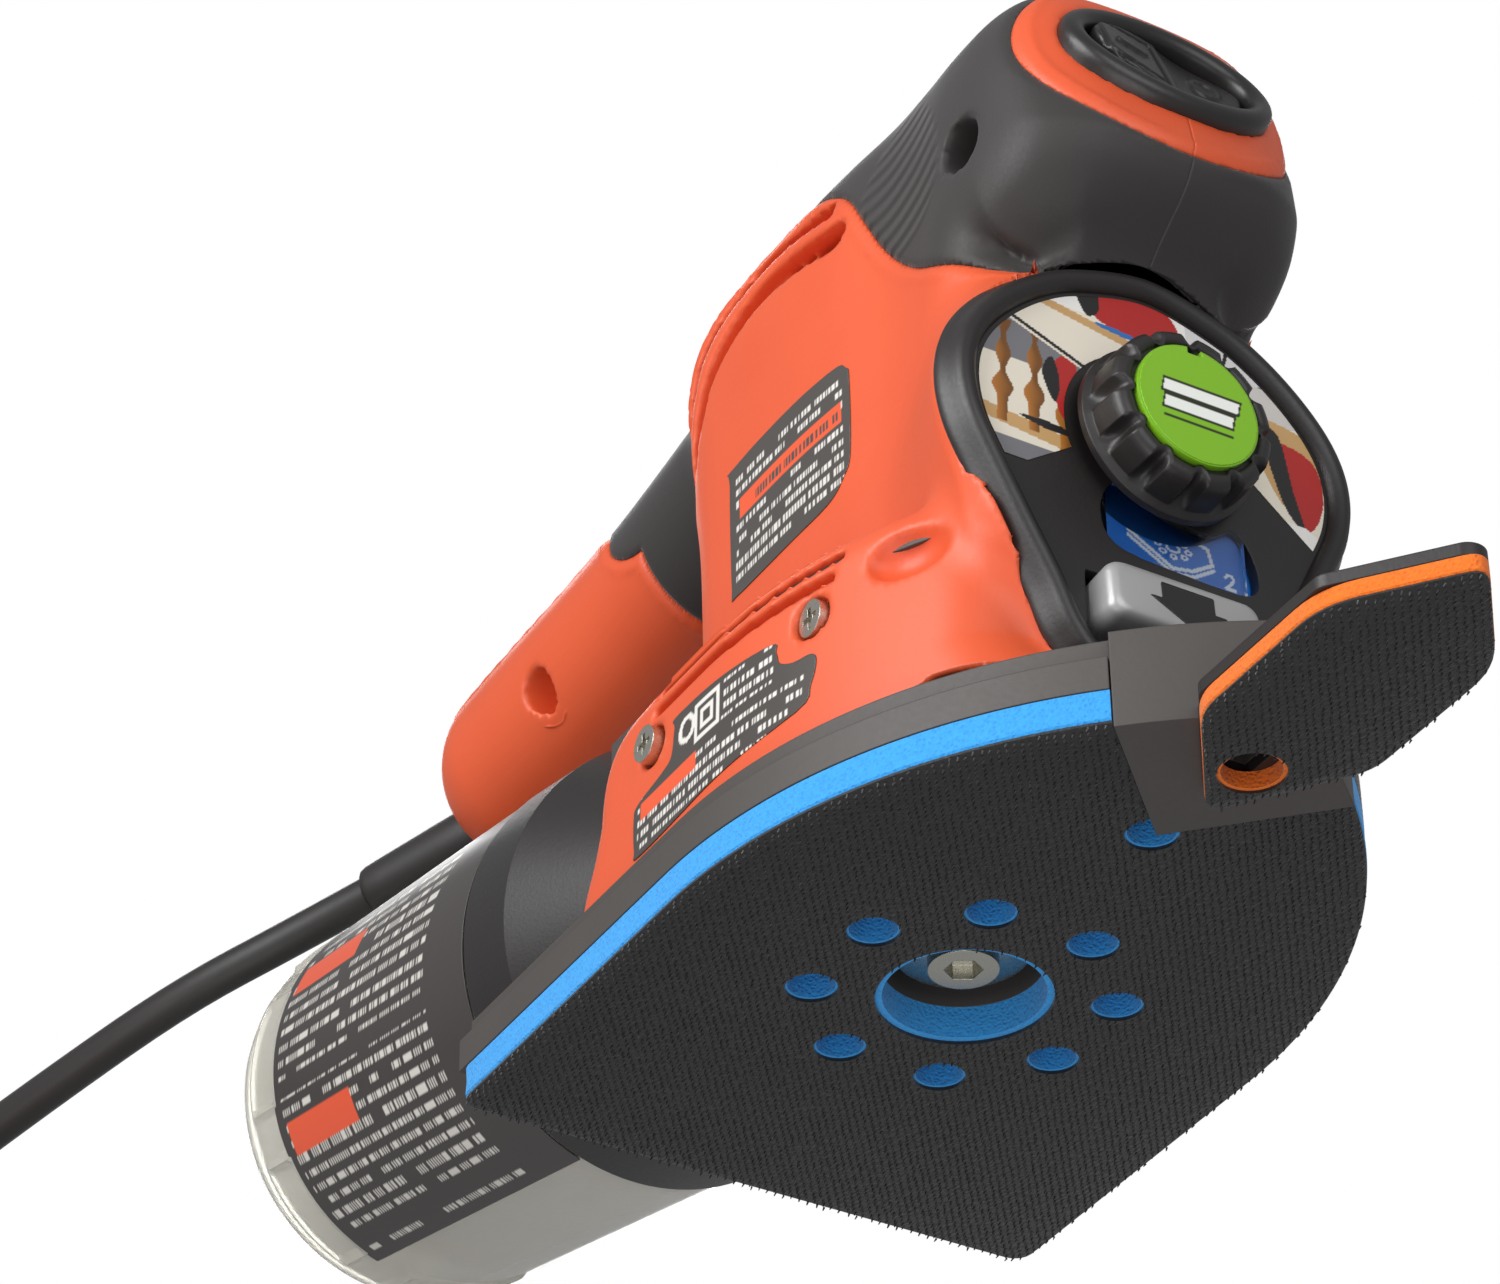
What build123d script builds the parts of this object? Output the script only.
from build123d import *
import math
import os

# Detail mouse sander. Millimetres. Everything is modelled about the pad axis, with +X towards the
# pointed end, +Y to the tool's left and +Z up, and z = 0 on the underside of the pad's hook sheet.
# At the end the whole model moves so that its origin is the middle of its footprint.

# ---- driving dimensions -------------------------------------------------------------------------
# Sanding pad
PAD_HALF_WIDTH = 51.0
PAD_REAR = 64.0
ARC_RADIUS = 97.0
HOOK_THICK = 1.2
FOAM_THICK = 5.3
BASE_LOWER = 5.5
BASE_UPPER = 4.0
BASE_STEP = 2.0
DUST_PCD = 46.0
DUST_COUNT = 8
DUST_HOLE = 3.7
TIP_HOLE_X = 50.0
CENTRE_HOLE = 12.3
# Detail finger at the tip
TIP_BACK = 51.0
TIP_CORNER = 71.0
TIP_HALF = 20.5
FINGER_BACK = 63.0
FINGER_FRONT = 129.5
FINGER_HALF = 14.5
FINGER_V = 20.0
FINGER_HOOK = 1.0
FINGER_FOAM = 2.8
FINGER_PLATE = 2.0
FINGER_HOLE_X = 74.5
FINGER_SLOT = 2.6
TIP_GAP = 0.4
TONGUE_HALF = 7.0
TONGUE_FRONT = 67.0
TONGUE_THICK = 4.0
# Drive
ECCENTRIC = 1.0
LEG_R = 3.2
LEG_FOOT_R = 6.0
LEG_FOOT = 2.0
LEG_PLACES = [(-22, 31), (-22, -31), (30, 26), (30, -26)]
SHAFT_R = 4.0
STUB_R = 4.0
PAD_BEARING_R = 11.0
PAD_BEARING_W = 7.0
LOWER_BEARING_R = 11.0
LOWER_BEARING_W = 7.0
UPPER_BEARING_R = 9.5
UPPER_BEARING_W = 6.0
UPPER_JOURNAL_R = 3.0
HUB_R = 9.0
HUB_HEIGHT = 14.0
WEIGHT_R = 22.0
WEIGHT_THICK = 3.0
FAN_R = 26.5
FAN_BLADES = 14
FAN_DISC = 1.6
FAN_HEIGHT = 8.6
CORE_SLOTS = 12
COMMUTATOR_BARS = 24
COMMUTATOR_HEIGHT = 11.0
ARMATURE_R = 15.2
AIR_GAP = 0.5
FIELD_R = 26.0
CORE_HEIGHT = 32.0
COMMUTATOR_R = 11.0
BRUSH = 5.0
RUNNING = 0.05
CLEAR = 0.3
# Housing
WALL = 2.5
GRIP = 2.0
SKIRT_INSET = 5.0
SKIRT_REAR = 33.0
SKIRT_BOTTOM = 17.0
SKIRT_TOP = 53.0
BARREL_HALF = 31.5
DOME_TOP = 153.0
HEAD_HALF = 29.0
WAIST_HALF = 27.0
SNOUT_BACK = 22.0
PANEL_X = 55.0
PANEL_HALF = 35.0
PANEL_MID = 63.0
PANEL_TOP = 96.5
PANEL_BOTTOM = 20.5
PANEL_FOOT_HALF = 16.5
PANEL_RIM = 2.6
HANDLE_START = (-34.0, 131.0)
HANDLE_END = (-134.0, 121.0)
HANDLE_R = 17.5
SCREW_R = 3.4
SHANK_R = 1.6
CLAMP_DEPTH = 10.0
CLAMP_TIP = 8.0
CLAMP_SCREWS = [(50.5, 117.0), (-107.0, 116.5)]
LUG_SCREWS = [(-14.0, 39.0), (26.0, 39.0)]
LUG_SCREW_R = 1.4
LUG_DEPTH = 6.0
# Selector
DIAL_Z = 65.2
DIAL_R = 14.5
DIAL_BACK = 59.0
DIAL_FRONT = 68.2
DIAL_NOTCHES = 12
CAP_R = 10.6
WINDOW_Z = 49.5
DISC_R = 23.5
BUTTON_Z = 32.6
BUTTON_HALF = 13.5
BUTTON_HEIGHT = 10.0
BUTTON_FRONT = 63.0
BUTTON_TRAVEL = 2.5
# Switch, on a face that leans back from the nose
NOSE = (66.0, 131.0)
NOSE_LEAN = 23.0
BEZEL_LONG = 19.0
BEZEL_SHORT = 13.5
NOSE_RING_LONG = 25.0
NOSE_RING_SHORT = 21.5
# Dust canister
BIN_TILT = 12.0
BIN_MOUTH = (-89.5, 53.8)
BIN_R = 35.5
BIN_END_R = 33.8
BIN_LENGTH = 97.0
BIN_WALL = 1.6
BIN_RING_S = 72.0
ADAPTER_R = 36.3
ADAPTER_S = -48.0
SPIGOT_R = 15.0
SPIGOT_BORE = 12.5
COLLAR = 2.0
# Mains cord
CORD_R = 3.5
COIL_TURN_R = 38.5
COIL_CENTRE = (-168.5, -146.0)
FLOOR = -(FINGER_HOOK + FINGER_FOAM)

Z_FOAM = HOOK_THICK
Z_BASE = Z_FOAM + FOAM_THICK
Z_STEP = Z_BASE + BASE_LOWER
Z_BASE_TOP = Z_STEP + BASE_UPPER
ARC_OFFSET = ARC_RADIUS - PAD_HALF_WIDTH
Z_PAD_BEARING = Z_STEP
MOTOR_X = -ECCENTRIC
Z_PLATE = SKIRT_TOP - WALL - 5.0
Z_LOWER_BEARING = Z_PLATE + 1.0
Z_CORE = Z_PLATE + 14.0
Z_CORE_TOP = Z_CORE + CORE_HEIGHT
Z_COMMUTATOR = Z_CORE_TOP + 4.0
Z_BRUSH = Z_COMMUTATOR + 6.0
Z_UPPER_BEARING = Z_COMMUTATOR + 18.0
Z_HUB = Z_PAD_BEARING + PAD_BEARING_W + 1.6

parts = {}


# ---- helpers ------------------------------------------------------------------------------------
def rod(radius, height, z, x=0.0, y=0.0):
    """A vertical cylinder that stands on height z."""
    return Pos(x, y, z) * Cylinder(radius, height, align=(Align.CENTER, Align.CENTER, Align.MIN))


def box(x0, x1, y0, y1, z0, z1):
    return Pos((x0 + x1) / 2, (y0 + y1) / 2, (z0 + z1) / 2) * Box(x1 - x0, y1 - y0, z1 - z0)


def across(points, reach):
    """Extrudes a polygon of (x, z) points to both sides of the centre plane."""
    face = make_face(Polyline(*[(x, z) for x, z in points], close=True))
    return extrude(Plane.XZ * face, reach, both=True)


def pad_outline(inset, rear=PAD_REAR, nose=None):
    """Plan view of the pad: straight sides, two large arcs that meet at the point."""
    half = PAD_HALF_WIDTH - inset
    radius = ARC_RADIUS - inset
    tip = math.sqrt(radius**2 - ARC_OFFSET**2)
    front = tip if nose is None else nose
    front_y = math.sqrt(radius**2 - front**2) - ARC_OFFSET
    mid = front * 0.5
    mid_y = math.sqrt(radius**2 - mid**2) - ARC_OFFSET
    left = ThreePointArc((0, half), (mid, mid_y), (front, front_y))
    right = ThreePointArc((front, -front_y), (mid, -mid_y), (0, -half))
    lines = [Line((-rear, half), (0, half)), left]
    if nose is not None:
        lines.append(Line((front, front_y), (front, -front_y)))
    lines += [right, Line((0, -half), (-rear, -half)), Line((-rear, -half), (-rear, half))]
    return make_face(Wire(lines))


def slab(face, z, height):
    return extrude(Pos(0, 0, z) * face, height)


def dust_holes(z, height):
    holes = [rod(DUST_HOLE, height, z, TIP_HOLE_X, 0)]
    for n in range(DUST_COUNT):
        a = math.radians((n + 0.5) * 360 / DUST_COUNT)
        holes.append(rod(DUST_HOLE, height, z, DUST_PCD / 2 * math.cos(a), DUST_PCD / 2 * math.sin(a)))
    return holes


def keep(name, *shapes):
    """Stores a node as one compound of its separate solids."""
    parts[name] = Compound([solid for shape in shapes for solid in shape.solids()])
    parts[name].label = name


# ---- sanding pad --------------------------------------------------------------------------------
def tip_outline(grow=0.0):
    """Plan view of the detachable tip: a diamond that follows the pad's sides at the front."""
    back = TIP_BACK - grow
    return make_face(Polyline(
        (back, 0), (TIP_CORNER, TIP_HALF + grow), (TIP_CORNER + 40, TIP_HALF + grow),
        (TIP_CORNER + 40, -TIP_HALF - grow), (TIP_CORNER, -TIP_HALF - grow), close=True,
    ))


def sanding_pad():
    cut = [slab(tip_outline(TIP_GAP), -1, Z_BASE_TOP + 2)]
    cut += dust_holes(-1, Z_BASE_TOP + 2)
    keep("hook_pad", slab(pad_outline(0), 0, HOOK_THICK) - cut - rod(CENTRE_HOLE, 9, -1))
    keep("foam_pad", slab(pad_outline(0), Z_FOAM, FOAM_THICK) - cut - rod(CENTRE_HOLE, 9, -1))
    base = slab(pad_outline(0), Z_BASE, BASE_LOWER) + slab(pad_outline(BASE_STEP), Z_STEP, BASE_UPPER)
    boss_top = Z_PAD_BEARING + PAD_BEARING_W
    tongue = box(TIP_BACK - 6, TONGUE_FRONT, -TONGUE_HALF, TONGUE_HALF, Z_STEP - TONGUE_THICK, Z_STEP)
    base = base - cut[0] + tongue - cut[1:]
    base = base + rod(PAD_BEARING_R + 3, boss_top - Z_BASE, Z_BASE)
    base = base - rod(CENTRE_HOLE, Z_PAD_BEARING - 1 - Z_BASE, Z_BASE)
    base = base - rod(PAD_BEARING_R, 20, Z_PAD_BEARING - 1)
    keep("pad_base", base)


def bearing(name, outer, bore, width, z, x):
    """A sealed ball bearing as its outer ring, shield and inner ring in one closed body."""
    ring = rod(outer, width, z, x) - rod(bore, width + 2, z - 1, x)
    groove = rod(outer - 2.0, 0.5, z, x) - rod(bore + 2.0, 0.5, z, x)
    ring = ring - groove - Pos(0, 0, width - 0.5) * groove
    keep(name, ring)


def legs():
    """Flexible posts that stop the pad turning. Their feet are moulded to the pad base."""
    posts = [rod(LEG_R, Z_PLATE + 1 - Z_BASE_TOP, Z_BASE_TOP, x, y) for x, y in LEG_PLACES]
    feet = [rod(LEG_FOOT_R, LEG_FOOT, Z_BASE_TOP, x, y) for x, y in LEG_PLACES]
    keep("flex_legs", *[post + foot for post, foot in zip(posts, feet)])


def pad_fixing():
    z = Z_PAD_BEARING
    washer = rod(10.4, 1.4, z - 3.4) + rod(6.0, 2.0, z - 2.0)
    keep("pad_washer", washer - rod(2.1, 8, z - 4))
    head = rod(5.4, 3.2, z - 6.6) - extrude(Pos(0, 0, z - 6.7) * RegularPolygon(3.0, 6), 2.6)
    keep("pad_screw", head + rod(2.0, 15.5, z - 3.4))


# ---- detail finger ------------------------------------------------------------------------------
def finger_outline():
    front_v = FINGER_FRONT - FINGER_V * 0.9
    back_v = FINGER_BACK + FINGER_V
    face = make_face(Polyline(
        (FINGER_BACK, 0), (back_v, FINGER_HALF), (front_v, FINGER_HALF), (FINGER_FRONT, 0),
        (front_v, -FINGER_HALF), (back_v, -FINGER_HALF), close=True,
    ))
    return fillet(face.vertices(), 3.0)


def finger():
    """The push-on tip: a black holder, and the finger's plate, foam and hook sheet below it."""
    mount = slab(tip_outline(), 0, Z_BASE_TOP) & slab(pad_outline(0), 0, Z_BASE_TOP)
    mount = mount - slab(finger_outline(), -1, FINGER_PLATE + 1)
    gap = CLEAR
    mount = mount - box(0, TONGUE_FRONT + gap, -TONGUE_HALF - gap, TONGUE_HALF + gap,
                        Z_STEP - TONGUE_THICK - gap, Z_STEP + gap)
    hole_z = Z_STEP - TONGUE_THICK - 2.0
    hole = box(FINGER_HOLE_X - 5, FINGER_HOLE_X + 5, -FINGER_SLOT, FINGER_SLOT, FLOOR - 1, hole_z)
    keep("tip_mount", mount - hole)
    keep("finger_plate", slab(finger_outline(), 0, FINGER_PLATE) - hole)
    keep("finger_foam", slab(finger_outline(), -FINGER_FOAM, FINGER_FOAM) - hole)
    keep("finger_hook", slab(finger_outline(), FLOOR, FINGER_HOOK) - hole)


# ---- drive --------------------------------------------------------------------------------------
def rotor():
    z = Z_HUB
    stub = rod(STUB_R - RUNNING, z - Z_PAD_BEARING, Z_PAD_BEARING)
    hub = stub + rod(HUB_R, HUB_HEIGHT, z, MOTOR_X)
    hub = hub - rod(2.0, 30, 0) - rod(SHAFT_R, 12.0, z + 4.0, MOTOR_X)
    keep("eccentric_hub", hub)
    weight = rod(WEIGHT_R, WEIGHT_THICK, z + 0.6, MOTOR_X) - rod(HUB_R, 9, z - 1, MOTOR_X)
    weight = weight & box(MOTOR_X - 30, MOTOR_X + 1, -30, 30, 0, 60)
    keep("counterweight", weight)
    fan_z = z + 4.4
    fan = rod(FAN_R, FAN_DISC, fan_z, MOTOR_X)
    for n in range(FAN_BLADES):
        blade = box(HUB_R + 1.2, FAN_R - 0.8, -0.6, 0.6, fan_z + 0.8, fan_z + 8.0)
        fan = fan + Pos(MOTOR_X, 0, 0) * Rot(0, 0, n * 360 / FAN_BLADES) * blade
    fan = fan + rod(HUB_R + 2.5, FAN_HEIGHT, fan_z, MOTOR_X) - rod(HUB_R, 20, fan_z - 1, MOTOR_X)
    keep("cooling_fan", fan)
    shaft = rod(SHAFT_R, Z_UPPER_BEARING - 1 - z - 4.0, z + 4.0, MOTOR_X)
    shaft = shaft + rod(UPPER_JOURNAL_R, UPPER_BEARING_W + 3, Z_UPPER_BEARING - 1, MOTOR_X)
    keep("armature_shaft", shaft)
    core = rod(ARMATURE_R, CORE_HEIGHT, Z_CORE, MOTOR_X)
    for n in range(CORE_SLOTS):
        slot = box(ARMATURE_R - 4.5, ARMATURE_R + 1, -0.8, 0.8, Z_CORE - 1, Z_CORE_TOP + 1)
        core = core - Pos(MOTOR_X, 0, 0) * Rot(0, 0, n * 360 / CORE_SLOTS) * slot
    bore = rod(SHAFT_R, CORE_HEIGHT + 80, Z_CORE - 30, MOTOR_X)
    keep("armature_core", core - bore)
    low = rod(ARMATURE_R - 1.5, 4.0, Z_CORE - 4.0, MOTOR_X)
    high = rod(ARMATURE_R - 1.5, 4.0, Z_CORE_TOP, MOTOR_X) - rod(COMMUTATOR_R, 9, Z_COMMUTATOR, MOTOR_X)
    keep("armature_windings", low - bore, high - bore)
    commutator = rod(COMMUTATOR_R, COMMUTATOR_HEIGHT, Z_COMMUTATOR, MOTOR_X) - bore
    for n in range(COMMUTATOR_BARS):
        cut = box(COMMUTATOR_R - 0.8, COMMUTATOR_R + 1, -0.2, 0.2, Z_COMMUTATOR - 1, Z_COMMUTATOR + 12)
        commutator = commutator - Pos(MOTOR_X, 0, 0) * Rot(0, 0, n * 360 / COMMUTATOR_BARS) * cut
    keep("commutator", commutator)


def stator():
    inner = ARMATURE_R + AIR_GAP
    core = rod(FIELD_R, CORE_HEIGHT, Z_CORE, MOTOR_X) - rod(inner, CORE_HEIGHT + 2, Z_CORE - 1, MOTOR_X)
    for side in (1, -1):
        flat = box(MOTOR_X - 9, MOTOR_X + 9, 22.5, 30, Z_CORE - 1, Z_CORE_TOP + 1)
        core = core - (flat if side > 0 else mirror(flat, Plane.XZ))
    keep("field_core", core)
    coil = rod(FIELD_R - 2, 6.0, Z_CORE - 6.0, MOTOR_X) - rod(inner + 1.5, 9, Z_CORE - 7, MOTOR_X)
    coil = coil - box(MOTOR_X - 11, MOTOR_X + 11, -40, 40, Z_CORE - 7, Z_CORE)
    upper = Pos(0, 0, CORE_HEIGHT + 6.0) * coil
    keep("field_windings", coil, upper)
    half = BRUSH / 2
    holders, brushes, springs = [], [], []
    for side in (1, -1):
        y_inner = COMMUTATOR_R + 0.1
        brush = box(MOTOR_X - half, MOTOR_X + half, y_inner, y_inner + 8, Z_BRUSH - half, Z_BRUSH + half)
        y_holder = COMMUTATOR_R + 1.5
        holder = box(MOTOR_X - 4.5, MOTOR_X + 4.5, y_holder, 25.0, Z_BRUSH - 4.5, Z_BRUSH + 4.5)
        hole = half + 0.1
        holder = holder - box(MOTOR_X - hole, MOTOR_X + hole, 0, 24.0, Z_BRUSH - hole, Z_BRUSH + hole)
        spring = Pos(MOTOR_X, y_inner + 8, Z_BRUSH) * Rot(-90, 0, 0) * (
            Cylinder(2.2, 24.0 - y_inner - 8, align=(Align.CENTER, Align.CENTER, Align.MIN))
            - Cylinder(1.5, 60, align=(Align.CENTER, Align.CENTER, Align.MIN))
        )
        for group, piece in ((holders, holder), (brushes, brush), (springs, spring)):
            group.append(piece if side > 0 else mirror(piece, Plane.XZ))
    keep("brush_holders", *holders)
    keep("carbon_brushes", *brushes)
    keep("brush_springs", *springs)


def lug_edge(x):
    """How far out the bearing plate's screw lugs reach at x, inside the skirt's wall."""
    half = PAD_HALF_WIDTH - SKIRT_INSET
    if x > 0:
        half = math.sqrt((ARC_RADIUS - SKIRT_INSET) ** 2 - (x + 4.5) ** 2) - ARC_OFFSET
    return half - WALL - CLEAR


def bearing_plate():
    """Carries the lower bearing and the sockets that steady the pad's posts."""
    inset = SKIRT_INSET + WALL + CLEAR
    plate = slab(pad_outline(inset, SKIRT_REAR - WALL - CLEAR, 46.0), Z_PLATE, 4.0)
    plate = plate + rod(LOWER_BEARING_R + 3, 10.0, Z_PLATE - 1, MOTOR_X)
    holes = [rod(LEG_R + ECCENTRIC + 0.6, 10.0, Z_PLATE - 8.0, x + MOTOR_X, y) for x, y in LEG_PLACES]
    for x, y in LEG_PLACES:
        plate = plate + rod(LEG_R + 4.0, 8.0, Z_PLATE - 6.0, x + MOTOR_X, y)
    plate = plate - rod(LOWER_BEARING_R, 20, Z_LOWER_BEARING, MOTOR_X)
    plate = plate - rod(LOWER_BEARING_R - 2, 20, Z_PLATE - 5, MOTOR_X)
    for x, z in LUG_SCREWS:
        for side in (1, -1):
            edge = lug_edge(x)
            lug = box(x - 4.5, x + 4.5, edge - LUG_DEPTH, edge, z - 4.5, Z_PLATE)
            bore = side_rod(x, z, LUG_SCREW_R, edge - LUG_DEPTH - 5, edge + 5)
            plate = plate + (lug if side > 0 else mirror(lug, Plane.XZ))
            holes.append(bore if side > 0 else mirror(bore, Plane.XZ))
    for n in range(4):
        angle = math.radians(45 + 90 * n)
        x, y = MOTOR_X + 19 * math.cos(angle), 19 * math.sin(angle)
        holes.append(rod(3.5, 12, Z_PLATE - 4, x, y))
    keep("bearing_plate", plate - holes)


# ---- housing ------------------------------------------------------------------------------------
def upper_body(inset):
    """Barrel, dome and head: where side view, plan and front view all agree."""
    i = inset
    lean = math.radians(NOSE_LEAN)
    ux, uz = -math.sin(lean), math.cos(lean)
    nx, nz = NOSE[0] - i * math.cos(lean), NOSE[1] - i * math.sin(lean)
    nose_low = (nx - 17.0 * ux, nz - 17.0 * uz)
    nose_high = (nx + 15.0 * ux, nz + 15.0 * uz)
    top = DOME_TOP - i
    side = Curve() + [
        Line((-36 + i, SKIRT_TOP - 6), (50 - i, SKIRT_TOP - 6)),
        Line((50 - i, SKIRT_TOP - 6), (50 - i, 98 + i)),
        ThreePointArc((50 - i, 98 + i), (64 - i, 102.5 + i), nose_low),
        Line(nose_low, nose_high),
        ThreePointArc(nose_high, (54 - i * 0.4, top - 3.5), (44, top - 2.5)),
        ThreePointArc((44, top - 2.5), (18, top - 2.8), (-8, top)),
        ThreePointArc((-8, top), (-33.5 + i * 0.7, top - 10.5 + i * 0.3), (-46 + i, 122)),
        ThreePointArc((-46 + i, 122), (-43.5 + i, 106), (-36 + i, 92)),
        Line((-36 + i, 92), (-36 + i, SKIRT_TOP - 6)),
    ]
    side_solid = extrude(Plane.XZ * make_face(side), 60, both=True)
    b, w, h = BARREL_HALF - i, WAIST_HALF - i, HEAD_HALF - i
    plan = Curve() + [
        ThreePointArc((-18, b), (-40 + i, 18 - i * 0.5), (-47 + i, 0)),
        ThreePointArc((-47 + i, 0), (-40 + i, -18 + i * 0.5), (-18, -b)),
        Line((-18, -b), (2, -b)),
        Spline((2, -b), (26, -w), (46, -h), tangents=((1, 0), (1, 0))),
        ThreePointArc((46, -h), (72 - i, -14 + i * 0.4), (80 - i, 0)),
        ThreePointArc((80 - i, 0), (72 - i, 14 - i * 0.4), (46, h)),
        Spline((46, h), (26, w), (2, b), tangents=((-1, 0), (-1, 0))),
        Line((2, b), (-18, b)),
    ]
    plan_solid = extrude(Pos(0, 0, SKIRT_TOP - 10) * make_face(plan), 140)
    shoulder = top - b
    front = Curve() + [
        Line((-b, SKIRT_TOP - 10), (b, SKIRT_TOP - 10)),
        Line((b, SKIRT_TOP - 10), (b, shoulder)),
        ThreePointArc((b, shoulder), (0, top), (-b, shoulder)),
        Line((-b, shoulder), (-b, SKIRT_TOP - 10)),
    ]
    front_solid = extrude(Plane.YZ * make_face(front), 120, both=True)
    return side_solid & plan_solid & front_solid


def shield(inset):
    """Front view of the selector panel: a rounded top over sides that taper to the foot."""
    half, foot = PANEL_HALF - inset, PANEL_FOOT_HALF - inset
    low, mid, top = PANEL_BOTTOM + inset, PANEL_MID, PANEL_TOP - inset
    reach = 0.7071
    rise = (top - mid) * reach
    outline = Curve() + [
        ThreePointArc((half, mid), (half * reach, mid + rise), (0, top)),
        ThreePointArc((0, top), (-half * reach, mid + rise), (-half, mid)),
        ThreePointArc((-half, mid), (-half * 0.83, (mid + low) / 2 + 2), (-foot, low + 3)),
        ThreePointArc((-foot, low + 3), (0, low), (foot, low + 3)),
        ThreePointArc((foot, low + 3), (half * 0.83, (mid + low) / 2 + 2), (half, mid)),
    ]
    return make_face(outline)


def along_x(face, x0, x1):
    return extrude(Pos(x0, 0, 0) * (Plane.YZ * face), x1 - x0)


def snout(inset):
    return along_x(shield(inset), SNOUT_BACK, PANEL_X)


def skirt_block(inset):
    rear = SKIRT_REAR - inset
    bottom = SKIRT_BOTTOM - (0 if inset == 0 else 5)
    return slab(pad_outline(SKIRT_INSET + inset, rear, 50.0 - inset), bottom, SKIRT_TOP - inset - bottom)


def handle(inset):
    x0, z0 = HANDLE_START
    x1, z1 = HANDLE_END
    length = math.hypot(x1 - x0, z1 - z0)
    plane = Plane(origin=(x0, 0, z0), z_dir=(x1 - x0, 0, z1 - z0), x_dir=(0, 1, 0))
    bar = Cylinder(HANDLE_R - inset, length, align=(Align.CENTER, Align.CENTER, Align.MIN))
    return plane * (bar + Pos(0, 0, length) * Sphere(HANDLE_R - inset))


def nose_plane(depth=0.0):
    lean = math.radians(NOSE_LEAN)
    normal = (math.cos(lean), 0, math.sin(lean))
    origin = (NOSE[0] + depth * normal[0], 0, NOSE[1] + depth * normal[2])
    return Plane(origin=origin, x_dir=(0, 1, 0), z_dir=normal)


def nose_oval(long_r, short_r, back, front):
    """An oval prism on the nose face, from depth back to depth front."""
    return extrude(nose_plane(back) * Ellipse(long_r, short_r), front - back)


def bin_plane():
    tilt = math.radians(BIN_TILT)
    axis = (-math.cos(tilt), 0, math.sin(tilt))
    return Plane(origin=(BIN_MOUTH[0], 0, BIN_MOUTH[1]), x_dir=(0, 1, 0), z_dir=axis)


def bin_rod(radius, s0, s1):
    shape = Pos(0, 0, s0) * Cylinder(radius, s1 - s0, align=(Align.CENTER, Align.CENTER, Align.MIN))
    return bin_plane() * shape


def grip_zone():
    """Side view of the region that the soft overmould covers, less the oval on the nose."""
    head = across([(90, 88), (49.5, 97.5), (32, 106), (22, 118), (13, 134), (-8, 141.5), (-28, 137),
                   (-40, 122), (-46, 108), (-70, 112), (-70, 175), (90, 175)], 60)
    return head - nose_oval(NOSE_RING_LONG, NOSE_RING_SHORT, -60, 40)


def strip_zone():
    """Side view of the soft strip along the top of the rear handle."""
    return across([(-50, 131), (-78, 128), (-82, 132), (-132, 126), (-138, 160), (-50, 160)], 60)




def housing():
    outer = upper_body(0) + snout(0) + skirt_block(0) + handle(0)
    core = upper_body(GRIP) + snout(0) + skirt_block(0) + handle(GRIP)
    hollow = upper_body(GRIP + WALL) + snout(WALL) + skirt_block(WALL) + handle(GRIP + WALL)
    zones = [grip_zone(), strip_zone()]
    skin = outer - core
    grips = (skin & zones[0]) + (skin & zones[1])
    cavity = along_x(shield(WALL), SNOUT_BACK + WALL, PANEL_X + 1)
    shell = outer - grips - hollow - cavity

    # Ribs that hold the motor, cut to the housing's own outline
    ring = rod(FIELD_R + 4, 5.0, Z_CORE + 3, MOTOR_X) - rod(FIELD_R, 60, Z_CORE, MOTOR_X)
    seat = rod(UPPER_BEARING_R + 3, UPPER_BEARING_W + 2, Z_UPPER_BEARING - 1, MOTOR_X)
    seat_z = Z_UPPER_BEARING + 1
    seat = seat + box(MOTOR_X - 1.5, MOTOR_X + 1.5, -40, 40, seat_z, seat_z + 4)
    seat = seat + box(-60, MOTOR_X, -1.5, 1.5, seat_z, seat_z + 4)
    seat = seat - rod(UPPER_BEARING_R, UPPER_BEARING_W, Z_UPPER_BEARING, MOTOR_X)
    seat = seat - rod(UPPER_BEARING_R - 2.5, 30, Z_UPPER_BEARING - 5, MOTOR_X)
    ribs = (ring + Pos(0, 0, CORE_HEIGHT - 11) * ring + seat) & upper_body(GRIP + 0.5)
    shell = shell + ribs

    # Openings: dust outlet, cord, switch, vents and screw wells
    collar_room = bin_rod(SPIGOT_R + COLLAR, -66, -30) & box(-90, -SKIRT_REAR, -60, 60, 0, 120)
    shell = shell - bin_rod(SPIGOT_R, -70, -40) - collar_room
    shell = shell - cord_bore(5.6)
    shell = shell - nose_oval(BEZEL_LONG - 3, BEZEL_SHORT - 3, -12, 5)
    for z in (99, 106):
        shell = shell - across([(-34, z), (2, z + 22), (2, z + 25), (-34, z + 3)], 60)
    for z in (43.5, 48.0):
        shell = shell - across([(-26, z), (14, z), (14, z + 2), (-26, z + 2)], 60)
    return outer, shell, grips


def side_rod(x, z, radius, y0, y1):
    """A cylinder along Y between y0 and y1."""
    rest = (Align.CENTER, Align.CENTER, Align.MIN)
    return Pos(x, y0, z) * Rot(-90, 0, 0) * Cylinder(radius, y1 - y0, align=rest)


def screw(x, z, radius, head_y, tip_y):
    """A cross-head screw that goes in from the right, its head at head_y."""
    head = side_rod(x, z, SCREW_R - 0.4, head_y - 2.4, head_y)
    cross = Pos(x, head_y - 2.4, z) * (Box(3.6, 1.6, 0.9) + Box(0.9, 1.6, 3.6))
    return head + side_rod(x, z, radius, head_y, tip_y) - cross


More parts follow.
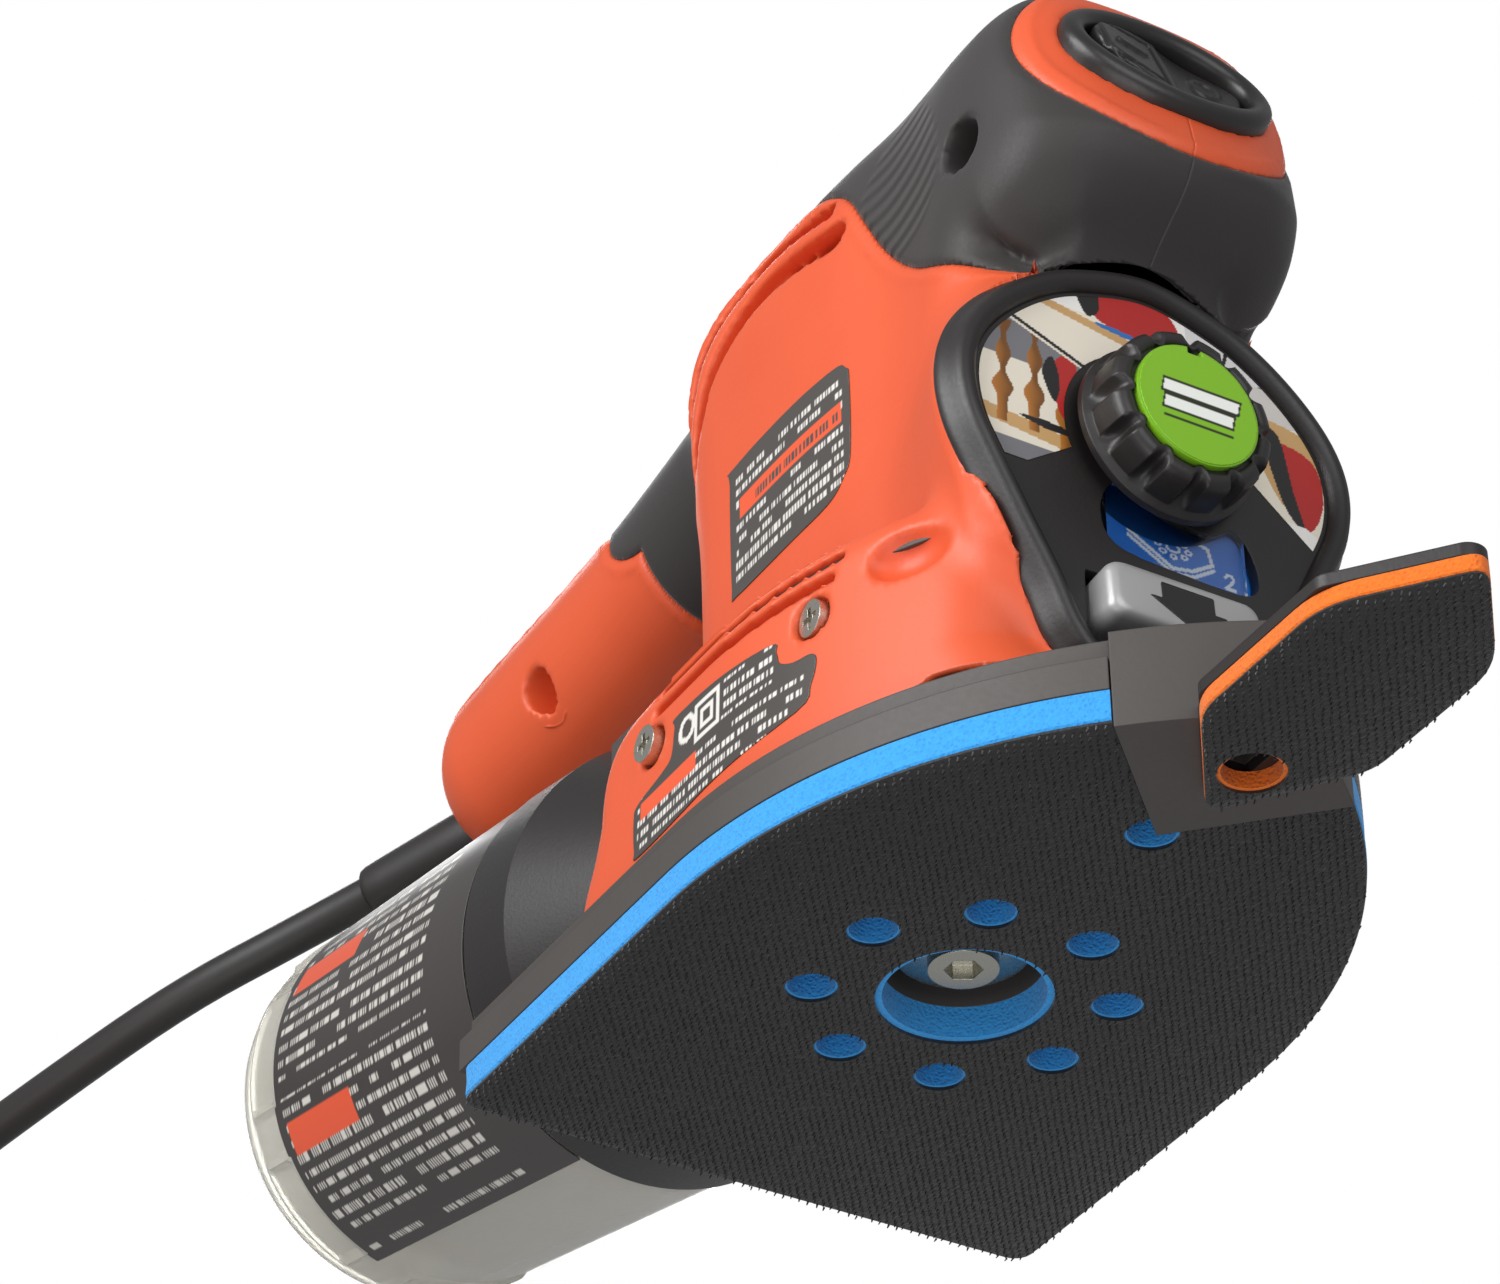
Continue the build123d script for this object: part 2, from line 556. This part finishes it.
def housing_nodes():
    outer, shell, grips = housing()
    inside = upper_body(GRIP + 0.5) + handle(GRIP + 0.5)
    drill, screws = [], []
    for x, z in CLAMP_SCREWS:
        post = side_rod(x, z, SCREW_R + 1.6, -60, 60) & inside
        shell = shell + post
        head_y = post.bounding_box().min.Y + CLAMP_DEPTH
        drill += [side_rod(x, z, SCREW_R, -90, head_y), side_rod(x, z, SHANK_R, head_y - 1, CLAMP_TIP)]
        screws.append(screw(x, z, SHANK_R, head_y, CLAMP_TIP))
    for x, z in LUG_SCREWS:
        edge = -lug_edge(x) - CLEAR
        well = side_rod(x, z, SCREW_R, -90, edge - 0.8) + side_rod(x, z, LUG_SCREW_R, -90, edge + 1)
        lug_screw = screw(x, z, LUG_SCREW_R, edge - 0.8, edge + LUG_DEPTH - 1)
        drill += [well, mirror(well, Plane.XZ)]
        screws += [lug_screw, mirror(lug_screw, Plane.XZ)]
    shell = shell - drill
    grips = grips - drill
    right_half = box(-400, 400, -200, 0, -50, 300)
    left_half = box(-400, 400, 0, 200, -50, 300)
    keep("right_housing", largest(shell & right_half))
    keep("left_housing", largest(shell & left_half))
    keep("right_grip", grips & right_half)
    keep("left_grip", grips & left_half)
    keep("housing_screws", *screws)


def largest(shape):
    """The main solid of a cut, without the crumbs that a cut can leave."""
    return sorted(shape.solids(), key=lambda s: s.volume)[-1]


# ---- selector panel -----------------------------------------------------------------------------
def panel():
    window = box(PANEL_X - 9, PANEL_X + 9, -9.5, 15.0, WINDOW_Z - 6.5, WINDOW_Z + 6.5)
    dial_hole = Pos(PANEL_X, 0, DIAL_Z) * Rot(0, 90, 0) * Cylinder(5.0, 30)
    low = BUTTON_Z - BUTTON_HEIGHT / 2
    slot = box(PANEL_X - 9, PANEL_X + 9, -BUTTON_HALF + 2, BUTTON_HALF - 2,
               low - BUTTON_TRAVEL + 2.0, low + BUTTON_HEIGHT - 2.0)
    fascia = along_x(shield(0), PANEL_X, PANEL_X + 3.6)
    fascia = fascia - along_x(shield(PANEL_RIM), PANEL_X + 2.0, PANEL_X + 5)
    keep("selector_panel", fascia - window - dial_hole - slot)
    lens = box(PANEL_X + 0.4, PANEL_X + 2.0, -9.5, 15.0, WINDOW_Z - 6.5, WINDOW_Z + 6.5)
    keep("window_lens", lens)
    picture = along_x(shield(PANEL_RIM + 1.2), PANEL_X + 2.0, PANEL_X + 2.4)
    picture = picture & box(0, 90, -60, 60, 52.0, 120)
    ring = Pos(PANEL_X, 0, DIAL_Z) * Rot(0, 90, 0) * Cylinder(DIAL_R + 1.0, 30)
    keep("panel_label", (picture - ring - window))


def dial():
    knob = Pos(DIAL_BACK, 0, DIAL_Z) * Rot(0, 90, 0) * Cylinder(
        DIAL_R, DIAL_FRONT - DIAL_BACK, align=(Align.CENTER, Align.CENTER, Align.MIN))
    for n in range(DIAL_NOTCHES):
        a = math.radians(n * 360 / DIAL_NOTCHES)
        y, z = (DIAL_R + 1.4) * math.cos(a), DIAL_Z + (DIAL_R + 1.4) * math.sin(a)
        knob = knob - Pos(DIAL_BACK, y, z) * Rot(0, 90, 0) * Cylinder(3.0, 40)
    recess = Pos(DIAL_FRONT - 0.8, 0, DIAL_Z) * Rot(0, 90, 0) * Cylinder(
        CAP_R, 5, align=(Align.CENTER, Align.CENTER, Align.MIN))
    stem = Pos(PANEL_X - 6.0, 0, DIAL_Z) * Rot(0, 90, 0) * Cylinder(
        4.0, DIAL_BACK - PANEL_X + 6.0, align=(Align.CENTER, Align.CENTER, Align.MIN))
    keep("selector_dial", knob - recess + stem)
    cap = Pos(DIAL_FRONT - 0.8, 0, DIAL_Z) * Rot(0, 90, 0) * Cylinder(
        CAP_R, 1.2, align=(Align.CENTER, Align.CENTER, Align.MIN))
    notch = box(DIAL_FRONT - 2, DIAL_FRONT + 2, -1.2, 1.2, DIAL_Z + CAP_R - 1.4, DIAL_Z + CAP_R + 2)
    keep("dial_cap", cap - notch)
    disc = Pos(PANEL_X - 4.0, 0, DIAL_Z) * Rot(0, 90, 0) * (
        Cylinder(DISC_R, 1.2, align=(Align.CENTER, Align.CENTER, Align.MIN))
        - Cylinder(4.0, 9))
    keep("indicator_disc", disc)
    cam = Pos(PANEL_X - 9.0, 0, DIAL_Z) * Rot(0, 90, 0) * (
        Cylinder(7.0, 3.0, align=(Align.CENTER, Align.CENTER, Align.MIN)))
    keep("selector_cam", cam)


def release():
    low = BUTTON_Z - BUTTON_HEIGHT / 2
    cap = box(PANEL_X + 2.3, BUTTON_FRONT, -BUTTON_HALF, BUTTON_HALF, low, low + BUTTON_HEIGHT)
    cap = fillet(cap.edges().filter_by(Axis.X), 2.6)
    cap = chamfer(cap.faces().sort_by(Axis.X)[-1].edges(), 0.8)
    stem = box(PANEL_X - 8.0, PANEL_X + 2.3, -6, 6, low + 2.4, low + BUTTON_HEIGHT - 2.6)
    keep("release_button", cap + stem)
    spring = Pos(PANEL_X - 5.5, 0, low - 8.0) * Cylinder(
        2.2, 10.0, align=(Align.CENTER, Align.CENTER, Align.MIN))
    spring = spring - Pos(PANEL_X - 5.5, 0, low) * Cylinder(1.5, 60)
    keep("release_spring", spring & box(0, 90, -20, 20, PANEL_BOTTOM + 3.2, low + 2.4))


def electrics():
    back = PANEL_X - 19.0
    board = box(back, back + 1.6, -19, 19, 50, 82)
    chips = box(back + 1.6, back + 9.0, -8, 8, DIAL_Z - 8, DIAL_Z + 8)
    keep("speed_module", board + chips)
    body = nose_plane(-17.5) * Pos(0, 3.6, 0) * Box(
        22.0, 11.0, 12.0, align=(Align.CENTER, Align.CENTER, Align.MIN))
    keep("switch_body", body)
    bezel = nose_oval(BEZEL_LONG, BEZEL_SHORT, 0.0, 2.6)
    bezel = bezel + nose_oval(BEZEL_LONG - 3 - 0.1, BEZEL_SHORT - 3 - 0.1, -4.6, 0.0)
    bezel = bezel - nose_oval(BEZEL_LONG - 4.2, BEZEL_SHORT - 4.2, -9, 9)
    keep("switch_bezel", bezel)
    # The rocker turns about an axle across its middle, along the face's short side
    long_r, short_r = BEZEL_LONG - 4.2 - 0.6, BEZEL_SHORT - 4.2 - 0.5
    wedge = make_face(Polyline(
        (-long_r, -2.0), (0, -4.4), (long_r * 0.9, -2.4), (long_r, 0.8), (0, 1.4),
        (-long_r * 0.9, 4.4), (-long_r, 3.6), close=True))
    face_plane = nose_plane()
    turned = Plane(origin=face_plane.origin, x_dir=(0, -1, 0), z_dir=face_plane.y_dir)
    rocker = extrude(turned * wedge, 30, both=True)
    rocker = mirror(rocker, Plane.XZ) & nose_oval(long_r, short_r, -9, 9)
    keep("switch_rocker", rocker)


# ---- dust canister ------------------------------------------------------------------------------
def canister():
    bore = bin_rod(SPIGOT_BORE, -70, -30)
    tube = (bin_rod(SPIGOT_R, -66, -36) - bore) & box(-200, -SKIRT_REAR + WALL, -60, 60, 0, 120)
    outside = box(-SKIRT_REAR - 3, -SKIRT_REAR, -60, 60, 0, 120)
    collar = (bin_rod(SPIGOT_R + COLLAR, -66, -30) - bore) & outside
    keep("dust_spigot", tube + collar)

    axis = bin_plane()
    profile = Polyline(
        (SPIGOT_R + CLEAR, ADAPTER_S), (SPIGOT_R + 3.0, ADAPTER_S), (SPIGOT_R + 5.0, ADAPTER_S + 3),
        (ADAPTER_R, -12), (ADAPTER_R, 2.0), (BIN_R - BIN_WALL - 0.4, 2.0),
        (BIN_R - BIN_WALL - 0.4, 8.0), (BIN_R - BIN_WALL - 2.4, 8.0), (BIN_R - BIN_WALL - 2.4, -10),
        (SPIGOT_R + 2.2, -34), (SPIGOT_R + CLEAR, -34), close=True,
    )
    keep("canister_adapter", axis * revolve(Plane.XZ * make_face(profile), Axis.Z, 360))

    body = Polyline(
        (BIN_R - BIN_WALL, 2.2), (BIN_R, 2.2), (BIN_END_R, BIN_LENGTH - 6), (BIN_END_R - 5, BIN_LENGTH),
        (0, BIN_LENGTH), (0, BIN_LENGTH - BIN_WALL), (BIN_END_R - 6, BIN_LENGTH - BIN_WALL),
        (BIN_END_R - BIN_WALL, BIN_LENGTH - 7), close=True,
    )
    keep("dust_bin", axis * revolve(Plane.XZ * make_face(body), Axis.Z, 360))

    taper = (BIN_R - BIN_END_R) / (BIN_LENGTH - 8.2)
    s0, s1 = 3.0, 79.0
    r0, r1 = BIN_R - taper * (s0 - 2.2), BIN_R - taper * (s1 - 2.2)
    sleeve = Polyline((r0 + 0.02, s0), (r0 + 0.35, s0), (r1 + 0.35, s1), (r1 + 0.02, s1), close=True)
    band = revolve(Plane.XZ * make_face(sleeve), Axis.Z, 150)
    keep("bin_label", axis * Rot(0, 0, 105) * band)

    frame = Pos(0, 0, BIN_RING_S) * (Cylinder(BIN_R - BIN_WALL - 3.0, 3.0) - Cylinder(20, 9))
    mouth = Pos(0, 0, 10.4) * (Cylinder(BIN_R - BIN_WALL - 1.0, 4.0) - Cylinder(20, 9))
    keep("filter_frame", axis * frame, axis * mouth)
    pleats = []
    count = 28
    for n in range(count):
        for r, step in ((29.0, 0.0), (23.5, 0.5)):
            a = 2 * math.pi * (n + step) / count
            pleats.append((r * math.cos(a), r * math.sin(a)))
    sheet = extrude(make_face(Polyline(*pleats, close=True)), BIN_RING_S - 1.5 - 13.0)
    filter_solid = Pos(0, 0, 13.0) * sheet - Cylinder(20, 400)
    keep("pleated_filter", axis * filter_solid)


# ---- mains cord ---------------------------------------------------------------------------------
BOOT_START = (-149.5, -1.2, 117.0)
BOOT_END = (-173.0, -13.5, 112.0)
CORD_ROUTE = [
    (-173.0, -13.5, 112.0),
    (-188.0, -21.4, 108.8),
    (-203.0, -36.0, 100.0),
    (-212.0, -56.5, 79.5),
    (-216.0, -80.5, 53.0),
    (-217.5, -96.0, 32.0),
    (-217.5, -109.0, 14.0),
    (-217.5, -121.5, 4.0),
    (-217.5, -134.0, FLOOR + CORD_R),
    (-217.5, -146.0, FLOOR + CORD_R),
]
TAIL_ROUTE = [
    (-119.5, -146.0, FLOOR + 3 * CORD_R),
    (-119.5, -135.0, 7.7),
    (-123.0, -124.5, 9.7),
    (-129.5, -115.5, 11.9),
    (-138.5, -109.0, 14.0),
    (-149.0, -105.7, 15.9),
    (-160.0, -105.7, FLOOR + 6 * CORD_R),
    (-170.5, -109.0, FLOOR + 6 * CORD_R),
]
PLUG_LENGTH = 32.0
PLUG_WIDTH = 24.0
BLADE_LENGTH = 17.0


def cord_bore(radius):
    """The passage through the handle's end that the strain relief sits in."""
    start, end = Vector(*BOOT_START), Vector(*BOOT_END)
    direction = (end - start).normalized()
    plane = Plane(origin=start - direction * 16, z_dir=direction)
    return plane * Cylinder(radius, 24, align=(Align.CENTER, Align.CENTER, Align.MIN))


def corner_radii(points):
    """Arcs as large as the two runs beside each corner allow."""
    radii = []
    for a, b, c in zip(points, points[1:], points[2:]):
        u, v = Vector(*b) - Vector(*a), Vector(*c) - Vector(*b)
        turn = math.radians(u.get_angle(v))
        radii.append(0.45 * min(u.length, v.length) / math.tan(turn / 2))
    return radii


def cord_tube(route):
    radii = corner_radii(route)
    print("cord radii", [round(r) for r in radii])
    path = FilletPolyline(*route, radius=radii)
    tube = sweep(Plane(origin=path @ 0, z_dir=path % 0) * Circle(CORD_R), path=path)
    ratio = tube.volume / (math.pi * CORD_R**2 * path.length)
    print("cord tube", round(path.length), "volume ratio", round(ratio, 4))
    return tube


def cord():
    start, end = Vector(*BOOT_START), Vector(*BOOT_END)
    direction = (end - start).normalized()
    plane = Plane(origin=start - direction * 9, z_dir=direction)
    length = (end - start).length + 9
    boot = plane * (Pos(0, 0, 0) * Cone(5.6, 4.6, length, align=(Align.CENTER, Align.CENTER, Align.MIN)))
    for n in range(4):
        ring = Torus(6.0, 0.9)
        boot = boot - plane * Pos(0, 0, 14 + 5 * n) * ring
    keep("cord_boot", boot)

    keep("cord_lead", cord_tube(CORD_ROUTE))
    keep("cord_tail", cord_tube(TAIL_ROUTE))

    cx, cy = COIL_CENTRE
    rise = 4 * CORD_R
    inner, outer = COIL_TURN_R - 4 * CORD_R, COIL_TURN_R + 4 * CORD_R
    coil = rod(outer, rise, FLOOR, cx, cy) - rod(inner, rise + 2, FLOOR - 1, cx, cy)
    coil = fillet(coil.edges(), CORD_R * 0.9)
    keep("cord_coil", coil)

    # Two-blade plug, lying flat on top of the coil at the end of the tail
    last, before = Vector(*TAIL_ROUTE[-1]), Vector(*TAIL_ROUTE[-2])
    flat = Vector(last.X - before.X, last.Y - before.Y, 0).normalized()
    plug_plane = Plane(origin=last, x_dir=(-flat.Y, flat.X, 0), z_dir=flat)
    rest = (Align.CENTER, Align.CENTER, Align.MIN)
    body = fillet(Box(PLUG_WIDTH, 4 * CORD_R, PLUG_LENGTH, align=rest).edges().filter_by(Axis.Z), 4.0)
    keep("mains_plug", plug_plane * body)
    blade = Box(6.3, 1.5, BLADE_LENGTH, align=rest)
    turned = Rot(0, 0, 90) * blade
    keep("plug_blades", *[plug_plane * Pos(x, 0, PLUG_LENGTH) * turned for x in (-6.35, 6.35)])


def main():
    sanding_pad()
    bearing("pad_bearing", PAD_BEARING_R, STUB_R, PAD_BEARING_W, Z_PAD_BEARING, 0)
    legs()
    pad_fixing()
    finger()
    rotor()
    bearing("lower_bearing", LOWER_BEARING_R, SHAFT_R + RUNNING, LOWER_BEARING_W, Z_LOWER_BEARING, MOTOR_X)
    bearing("upper_bearing", UPPER_BEARING_R, UPPER_JOURNAL_R + RUNNING, UPPER_BEARING_W,
            Z_UPPER_BEARING, MOTOR_X)
    stator()
    bearing_plate()
    housing_nodes()
    panel()
    dial()
    release()
    electrics()
    canister()
    cord()


main()

CORD_PIECES = {"cord_lead", "cord_coil", "cord_tail", "mains_plug", "plug_blades"}
boxes = [shape.bounding_box() for name, shape in parts.items() if name not in CORD_PIECES]
low_x = min(b.min.X for b in boxes)
high_x = max(b.max.X for b in boxes)
shift = Pos(-(low_x + high_x) / 2, 0, -FLOOR)
print("shift", -(low_x + high_x) / 2, -FLOOR)
os.makedirs("parts", exist_ok=True)
for name, shape in parts.items():
    export_step(shift * shape, f"parts/{name}.step")
